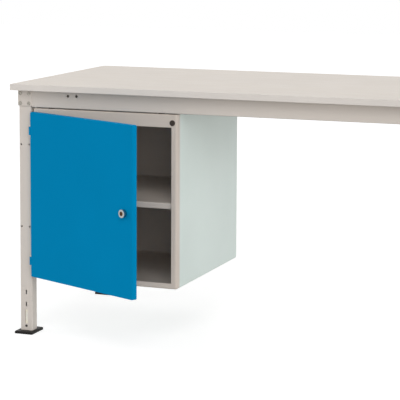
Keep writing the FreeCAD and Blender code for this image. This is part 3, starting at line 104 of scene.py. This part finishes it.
class Finish:
    """A procedural material. Its patterns are laid out in metres in the part's own frame."""

    def __init__(self, name, **settings):
        self.material = bpy.data.materials.new(name)
        self.material.use_nodes = True
        self.tree = self.material.node_tree
        self.tree.nodes.clear()
        output = self.add("ShaderNodeOutputMaterial")
        self.shader = self.add("ShaderNodeBsdfPrincipled")
        self.join(self.shader.outputs["BSDF"], output.inputs["Surface"])
        coordinates = self.add("ShaderNodeTexCoord")
        self.place = coordinates.outputs["Object"]
        self.facing = coordinates.outputs["Normal"]
        for socket, value in settings.items():
            self.shader.inputs[socket.replace("_", " ")].default_value = value

    def add(self, kind, **settings):
        node = self.tree.nodes.new(kind)
        for name, value in settings.items():
            setattr(node, name, value)
        return node

    def join(self, source, target):
        self.tree.links.new(source, target)

    def stretched(self, stretch):
        """The place, scaled along each axis. A pattern is drawn out where the scale is small."""
        mapping = self.add("ShaderNodeMapping")
        self.join(self.place, mapping.inputs["Vector"])
        mapping.inputs["Scale"].default_value = stretch
        return mapping.outputs["Vector"]

    def noise(self, size, detail=2.0, stretch=None):
        """A soft random pattern whose blotches are about one size wide, in metres."""
        noise = self.add("ShaderNodeTexNoise")
        self.join(self.stretched(stretch) if stretch else self.place, noise.inputs["Vector"])
        noise.inputs["Scale"].default_value = 1 / size
        noise.inputs["Detail"].default_value = detail
        return noise.outputs["Fac"]

    def cells(self, size, output="Color"):
        """A pattern of irregular cells about one size wide, in metres."""
        cells = self.add("ShaderNodeTexVoronoi")
        self.join(self.place, cells.inputs["Vector"])
        cells.inputs["Scale"].default_value = 1 / size
        return cells.outputs[output]

    def ranged(self, value, low, high, start=0.3, end=0.7):
        """The value's middle part, stretched to run from low to high."""
        spread = self.add("ShaderNodeMapRange")
        self.join(value, spread.inputs["Value"])
        for name, number in (
            ("From Min", start),
            ("From Max", end),
            ("To Min", low),
            ("To Max", high),
        ):
            spread.inputs[name].default_value = number
        return spread.outputs["Result"]

    def math(self, operation, first, second):
        """A sum on two values. A number or another node's output can be each value."""
        node = self.add("ShaderNodeMath", operation=operation)
        for socket, value in zip(node.inputs, (first, second)):
            if isinstance(value, bpy.types.NodeSocket):
                self.join(value, socket)
            else:
                socket.default_value = value
        return node.outputs["Value"]

    def mixed(self, factor, first, second, blend="MIX"):
        """Two colours mixed. A number, a colour or another node's output can be each value."""
        mix = self.add("ShaderNodeMix", data_type="RGBA", blend_type=blend)
        for socket, value in zip(COLOUR_MIX_INPUTS, (factor, first, second)):
            if isinstance(value, bpy.types.NodeSocket):
                self.join(value, mix.inputs[socket])
            else:
                mix.inputs[socket].default_value = value
        return mix.outputs[COLOUR_MIX_OUTPUT]

    def edges(self, radius):
        """One where the surface bends sharply, and zero on flat ground."""
        bevel = self.add("ShaderNodeBevel", samples=BEVEL_SAMPLES)
        bevel.inputs["Radius"].default_value = radius
        geometry = self.add("ShaderNodeNewGeometry")
        dot = self.add("ShaderNodeVectorMath", operation="DOT_PRODUCT")
        self.join(bevel.outputs["Normal"], dot.inputs[0])
        self.join(geometry.outputs["Normal"], dot.inputs[1])
        return self.ranged(dot.outputs["Value"], 1.0, 0.0, 0.7, 0.98)

    def relief(self, *layers, edge=PAINTED_EDGE):
        """Bumps from layers of height pattern, depth in metres and strength."""
        bevel = self.add("ShaderNodeBevel", samples=BEVEL_SAMPLES)
        bevel.inputs["Radius"].default_value = edge
        normal = bevel.outputs["Normal"]
        for height, depth, strength in layers:
            bump = self.add("ShaderNodeBump")
            bump.inputs["Distance"].default_value = depth
            bump.inputs["Strength"].default_value = strength
            self.join(height, bump.inputs["Height"])
            self.join(normal, bump.inputs["Normal"])
            normal = bump.outputs["Normal"]
        self.join(normal, self.shader.inputs["Normal"])

    def colour(self, source):
        self.join(source, self.shader.inputs["Base Color"])

    def roughness(self, source):
        self.join(source, self.shader.inputs["Roughness"])


def powder_coat(name, colour, rough, gloss=0.4, outside=None):
    """Baked powder paint: orange peel, faint clouding, and edges a little worn and thin.

    Outside a shell, behind its front, the paint can have another colour: cooler, and lighter
    as painted light, so that the front and inside stand darker as painted shade. The shell's
    faces that look away from its middle are its outside.
    """
    finish = Finish(name, Specular_IOR_Level=gloss)
    base = colour
    if outside:
        cool_colour_with_painted_light, low, high = outside
        from_middle = finish.add("ShaderNodeVectorMath", operation="SUBTRACT")
        finish.join(finish.place, from_middle.inputs[0])
        from_middle.inputs[1].default_value = (low + high) / 2
        away = finish.add("ShaderNodeVectorMath", operation="DOT_PRODUCT")
        finish.join(from_middle.outputs["Vector"], away.inputs[0])
        finish.join(finish.facing, away.inputs[1])
        outward = finish.ranged(away.outputs["Value"], 0.0, 1.0, OUTER_FROM, OUTER_FULL)
        split = finish.add("ShaderNodeSeparateXYZ")
        finish.join(finish.place, split.inputs["Vector"])
        start, end = low.y + PAINTED_LIGHT_STARTS, low.y + PAINTED_LIGHT_FULL
        behind = finish.ranged(split.outputs["Y"], 0.0, 1.0, start, end)
        # Painted light: outer faces lighter (and cooler); front and inside darker as painted shade.
        base = finish.mixed(finish.math("MULTIPLY", outward, behind), colour, cool_colour_with_painted_light)
    clouds = finish.ranged(finish.noise(size=0.22, detail=3.0), 0.0, 1.0)
    clouded = finish.mixed(clouds, CLOUD_SHADE, WHITE)
    tinted = finish.mixed(1.0, base, clouded, "MULTIPLY")
    specks = finish.ranged(finish.noise(size=0.0011, detail=1.0), 0.97, 1.03)
    specked = finish.mixed(1.0, tinted, specks, "MULTIPLY")
    worn = finish.ranged(finish.noise(size=0.015, detail=4.0), 0.0, 0.35, 0.45, 0.7)
    edge = finish.math("MULTIPLY", finish.edges(CLEAN_EDGE), worn)
    finish.colour(finish.mixed(edge, specked, WORN_PRIMER))
    finish.roughness(finish.ranged(finish.noise(size=0.05, detail=3.0), rough - 0.05, rough + 0.06))
    peel = finish.noise(size=0.0022, detail=2.0)
    waves = finish.noise(size=0.03, detail=1.0)
    finish.relief((waves, 0.0006, 0.06), (peel, 0.00012, 0.22))
    return finish.material


def melamine(name, colour, rough):
    """A laminate face with a fine pearl grain and a few faint wipe marks."""
    finish = Finish(name, Specular_IOR_Level=0.4)
    wide = finish.ranged(finish.noise(size=0.35, detail=3.0), 0.975, 1.02)
    fine = finish.ranged(finish.noise(size=0.0016, detail=3.0), 0.965, 1.03)
    clouded = finish.mixed(1.0, colour, wide, "MULTIPLY")
    finish.colour(finish.mixed(1.0, clouded, fine, "MULTIPLY"))
    marks = finish.noise(size=0.02, detail=4.0, stretch=(0.15, 1.0, 1.0))
    finish.roughness(finish.ranged(marks, rough - 0.05, rough + 0.1))
    pearl = finish.noise(size=0.0012, detail=3.0)
    finish.relief((pearl, 0.00008, 0.25), edge=CLEAN_EDGE)
    return finish.material


def edge_plastic(name, colour, rough):
    """A glued plastic band with faint lines along its length."""
    finish = Finish(name, Specular_IOR_Level=0.4)
    lines = finish.noise(size=0.0009, detail=2.0, stretch=(0.03, 0.03, 1.0))
    fine = finish.ranged(lines, 0.955, 1.03)
    wide = finish.ranged(finish.noise(size=0.12, detail=2.0), 0.98, 1.02)
    clouded = finish.mixed(1.0, colour, wide, "MULTIPLY")
    finish.colour(finish.mixed(1.0, clouded, fine, "MULTIPLY"))
    finish.roughness(finish.ranged(finish.noise(size=0.01, detail=2.0), rough - 0.04, rough + 0.08))
    finish.relief((lines, 0.00006, 0.3), edge=SOFT_EDGE)
    return finish.material


def zinc(name, colour, rough):
    """Bright zinc plating: faint crystals, a cool and a warm cast, and fine scratches."""
    finish = Finish(name, Metallic=1.0)
    crystals = finish.cells(0.006)
    grey = finish.add("ShaderNodeRGBToBW")
    finish.join(crystals, grey.inputs["Color"])
    patch = finish.ranged(grey.outputs["Val"], 0.86, 1.08, 0.1, 0.9)
    warm = finish.ranged(finish.noise(size=0.02, detail=3.0), 0.0, 1.0)
    cast = finish.mixed(warm, colour, tone(236, 228, 206))
    finish.colour(finish.mixed(1.0, cast, patch, "MULTIPLY"))
    scratches = finish.noise(size=0.0008, detail=3.0, stretch=(1.0, 1.0, 0.05))
    finish.roughness(finish.ranged(scratches, rough - 0.07, rough + 0.1))
    finish.relief((scratches, 0.00005, 0.25), edge=SHARP_EDGE)
    return finish.material


def dark_steel(name, colour, rough):
    """Blackened or bare steel with an oily, uneven sheen."""
    finish = Finish(name, Metallic=0.7)
    patch = finish.ranged(finish.noise(size=0.004, detail=3.0), 0.7, 1.5)
    finish.colour(finish.mixed(1.0, colour, patch, "MULTIPLY"))
    finish.roughness(finish.ranged(finish.noise(size=0.002, detail=3.0), rough - 0.1, rough + 0.12))
    finish.relief((finish.noise(size=0.0009, detail=3.0), 0.00008, 0.3), edge=SHARP_EDGE)
    return finish.material


def moulded_plastic(name, colour, rough, grain):
    """Black plastic with a leathery mould grain and patches of dust."""
    finish = Finish(name, Specular_IOR_Level=0.25)
    leather = finish.cells(grain, "Distance")
    dust = finish.ranged(finish.noise(size=0.02, detail=4.0), 0.0, 0.12, 0.5, 0.8)
    finish.colour(finish.mixed(dust, colour, tone(120, 112, 104)))
    finish.roughness(finish.ranged(finish.noise(size=0.01, detail=2.0), rough - 0.06, rough + 0.1))
    finish.relief((leather, 0.0002, 0.3), edge=CLEAN_EDGE)
    return finish.material


def rubber(name, colour):
    """Dull rubber, slightly dusty."""
    finish = Finish(name, Specular_IOR_Level=0.3)
    dust = finish.ranged(finish.noise(size=0.003, detail=4.0), 0.0, 0.4, 0.4, 0.75)
    dusty = (*[channel * DUST_LIGHTENS for channel in colour[:3]], 1.0)
    finish.colour(finish.mixed(dust, colour, dusty))
    finish.roughness(finish.ranged(finish.noise(size=0.002, detail=2.0), 0.7, 0.9))
    finish.relief((finish.noise(size=0.0007, detail=3.0), 0.0001, 0.4), edge=CLEAN_EDGE)
    return finish.material


def polished(name, colour, rough, marks):
    """Polished or turned metal with hairline scratches."""
    finish = Finish(name, Metallic=1.0)
    patch = finish.ranged(finish.noise(size=0.004, detail=3.0), 0.9, 1.05)
    finish.colour(finish.mixed(1.0, colour, patch, "MULTIPLY"))
    scratches = finish.noise(size=0.0006, detail=4.0, stretch=(1.0, 1.0, 0.1))
    finish.roughness(finish.ranged(scratches, rough, rough + marks))
    finish.relief((scratches, 0.00003, 0.2), edge=SHARP_EDGE)
    return finish.material


cabinet_box = (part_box("cabinet_left_side")[0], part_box("cabinet_right_side")[1])
FINISHES = {
    "melamine": melamine("melamine_face", tone(227, 218, 208), 0.42),
    "edge_band": edge_plastic("edge_band_plastic", tone(228, 221, 214), 0.45),
    "frame_paint": powder_coat("frame_powder_coat", tone(221, 212, 203), 0.42),
    "cabinet_paint": powder_coat(
        "cabinet_powder_coat",
        tone(215, 203, 192),
        0.4,
        # Cooler outer colour, lighter as painted light on the outer faces
        outside=(tone(226, 239, 234), *cabinet_box),
    ),
    "door_paint": powder_coat("door_powder_coat", tone(0, 139, 193), 0.5, gloss=0.01),
    "zinc": zinc("zinc_plating", tone(222, 220, 211), 0.36),
    "black_steel": dark_steel("blackened_steel", tone(46, 44, 42), 0.42),
    "dull_steel": dark_steel("dull_steel", tone(168, 163, 154), 0.45),
    "chrome": polished("chrome_plating", tone(176, 177, 176), 0.16, 0.16),
    # Brass for the lock plug, darker than brass as painted shade for its recess
    "lock_brass": polished("brass_with_painted_shade", tone(104, 72, 50), 0.3, 0.2),
    "foot_plastic": moulded_plastic("foot_plastic_black", tone(14, 12, 11), 0.5, 0.0012),
    "rubber": rubber("buffer_rubber", tone(66, 58, 53)),
}

for entry in frame["record"]["subparts"]:
    piece = nodes[entry["node"]]
    piece.data.materials.clear()
    piece.data.materials.append(FINISHES[entry["material_slot"]])


def pale_ground():
    """A pale floor that keeps shadows and turns to plain white for the camera and for gloss."""
    finish = Finish("pale_floor", Roughness=0.9, Specular_IOR_Level=0.0)
    fine = finish.ranged(finish.noise(size=0.5, detail=2.0), 0.985, 1.0)
    finish.colour(finish.mixed(1.0, tone(FLOOR_GREY, FLOOR_GREY, FLOOR_GREY), fine, "MULTIPLY"))
    seen = finish.add("ShaderNodeLightPath")
    either = finish.math("MAXIMUM", seen.outputs["Is Camera Ray"], seen.outputs["Is Glossy Ray"])
    either = finish.math("MAXIMUM", either, seen.outputs["Is Transmission Ray"])
    finish.shader.inputs["Emission Color"].default_value = WHITE
    lift = finish.math("MULTIPLY", either, FLOOR_LIFT)
    finish.join(lift, finish.shader.inputs["Emission Strength"])
    return finish.material


mesh = bpy.data.meshes.new("floor")
mesh.from_pydata(
    [(x * FLOOR_HALF, y * FLOOR_HALF, 0) for x, y in ((-1, -1), (1, -1), (1, 1), (-1, 1))],
    [],
    [(0, 1, 2, 3)],
)
floor = bpy.data.objects.new("floor", mesh)
bpy.context.scene.collection.objects.link(floor)
floor.data.materials.append(pale_ground())


def world_light(strength, seen_strength):
    """Even light from all round, seen by the camera and in gloss as plain white."""
    world = bpy.data.worlds.new("studio")
    bpy.context.scene.world = world
    world.use_nodes = True
    world_nodes = world.node_tree.nodes
    world_nodes.clear()
    links = world.node_tree.links
    path = world_nodes.new("ShaderNodeLightPath")
    either = world_nodes.new("ShaderNodeMath")
    seen = world_nodes.new("ShaderNodeMath")
    either.operation = seen.operation = "MAXIMUM"
    links.new(path.outputs["Is Camera Ray"], either.inputs[0])
    links.new(path.outputs["Is Glossy Ray"], either.inputs[1])
    links.new(either.outputs["Value"], seen.inputs[0])
    links.new(path.outputs["Is Transmission Ray"], seen.inputs[1])
    soft = world_nodes.new("ShaderNodeBackground")
    soft.inputs["Strength"].default_value = strength
    plain = world_nodes.new("ShaderNodeBackground")
    plain.inputs["Strength"].default_value = seen_strength
    for background in (soft, plain):
        background.inputs["Color"].default_value = WHITE
    mix = world_nodes.new("ShaderNodeMixShader")
    links.new(seen.outputs["Value"], mix.inputs["Fac"])
    links.new(soft.outputs["Background"], mix.inputs[1])
    links.new(plain.outputs["Background"], mix.inputs[2])
    output = world_nodes.new("ShaderNodeOutputWorld")
    links.new(mix.outputs["Shader"], output.inputs["Surface"])


def soft_sun(name, azimuth, elevation, level, spread):
    """Even soft light from far away. The level is what it adds to a face turned to it.

    Gloss doesn't see it, so that a pale face doesn't clip where it would mirror it.
    """
    lamp = bpy.data.lights.new(name, "SUN")
    lamp.energy = level * math.pi
    lamp.angle = math.radians(spread)
    holder = bpy.data.objects.new(name, lamp)
    holder.visible_glossy = False
    turn, lift = math.radians(azimuth), math.radians(elevation)
    level_part = math.cos(lift)
    towards = Vector((level_part * math.sin(turn), -level_part * math.cos(turn), math.sin(lift)))
    holder.rotation_euler = towards.to_track_quat("Z", "Y").to_euler()
    bpy.context.scene.collection.objects.link(holder)


world_light(WORLD_LEVEL, WORLD_SEEN_LEVEL)
for lamp_row in LAMPS:
    soft_sun(*lamp_row)

# Camera
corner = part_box("front_edge_band")[0]
camera_data = bpy.data.cameras.new("camera")
camera_data.lens = FOCAL_LENGTH
camera_data.sensor_width = SENSOR
camera_data.shift_x = SHIFT_RIGHT
camera_data.shift_y = SHIFT_UP
camera_data.clip_end = FAR_CLIP
camera = bpy.data.objects.new("camera", camera_data)
camera.matrix_world = (
    Matrix.Translation((corner.x + CAMERA_RIGHT, corner.y - CAMERA_FRONT, CAMERA_HEIGHT))
    @ Matrix.Rotation(math.radians(CAMERA_YAW), 4, "Z")
    @ Matrix.Rotation(math.radians(90 - CAMERA_PITCH), 4, "X")
    @ Matrix.Rotation(math.radians(CAMERA_ROLL), 4, "Z")
)
bpy.context.scene.collection.objects.link(camera)
bpy.context.scene.camera = camera
bpy.context.scene.view_settings.view_transform = "Standard"
